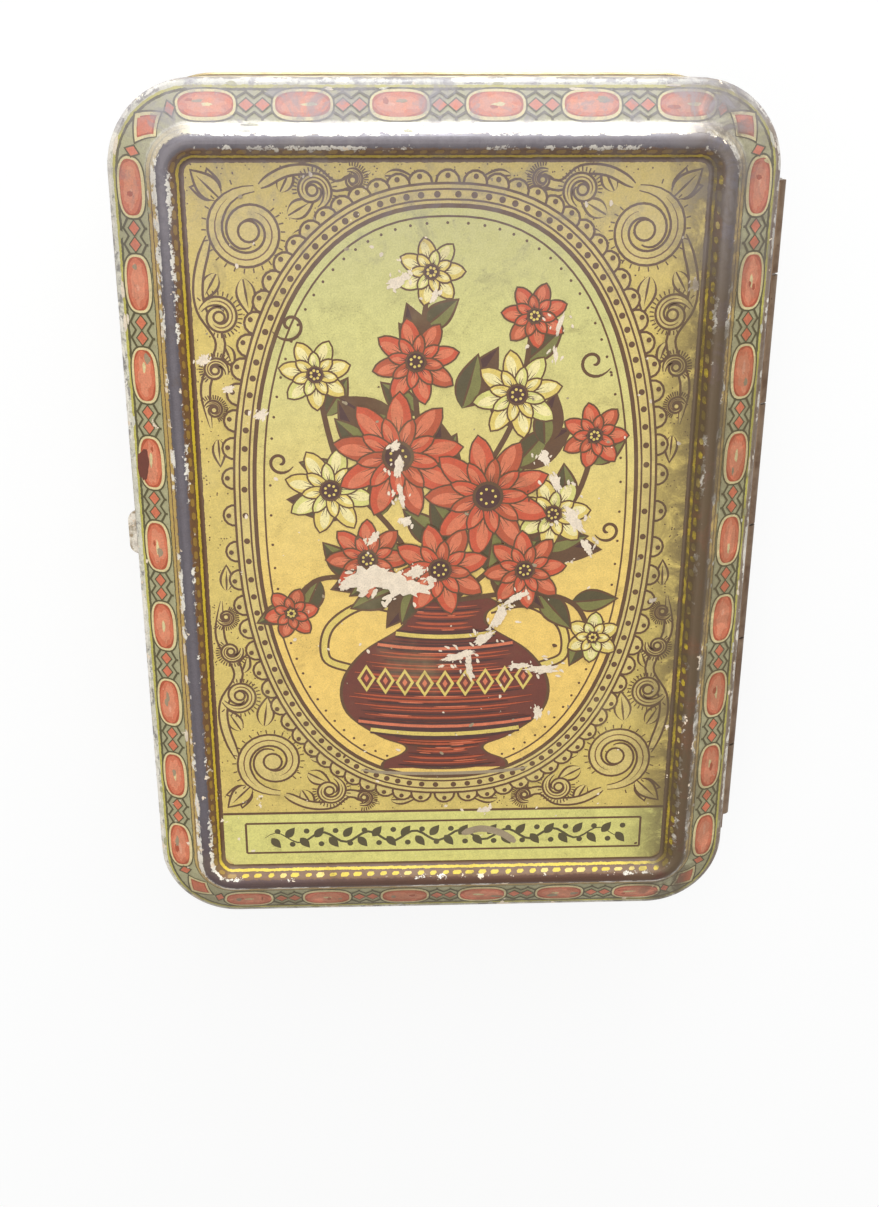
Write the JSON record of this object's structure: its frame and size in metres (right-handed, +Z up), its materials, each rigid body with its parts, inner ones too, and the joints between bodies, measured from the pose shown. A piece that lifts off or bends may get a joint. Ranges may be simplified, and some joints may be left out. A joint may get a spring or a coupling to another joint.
{
  "type": "hinged tin",
  "caption": "Flat rectangular tin with rounded corners and a lid with a raised frame round a sunk panel, hinged along one long side, with a thumb lip on the other.",
  "frame": {"origin": "centre of the tin's footprint, on the surface that it stands on", "axes": "+Z up through the lid, +X towards the hinge, +Y along the hinge towards the end that is at the top of the picture"},
  "size_m": [0.0882, 0.1196, 0.03],
  "materials": {
    "lithographed_tinplate": "worn varnished print on tinplate",
    "bare_tinplate": "dull tinplate with light rust",
    "steel_wire": "drawn wire, tarnished"
  },
  "bodies": {
    "base": {"base_wall": "lithographed_tinplate", "base_bottom": "bare_tinplate", "base_hinge_leaf": "bare_tinplate", "hinge_pin": "steel_wire"},
    "lid": {"lid_shell": "lithographed_tinplate", "lid_hinge_leaf": "bare_tinplate"}
  },
  "joints": [
    {"name": "lid_hinge", "type": "hinge", "parent": "base", "child": "lid", "pos_m": [0.0432, 0, 0.02], "axis": [0, 1, 0], "range_deg": [0, 180]}
  ]
}
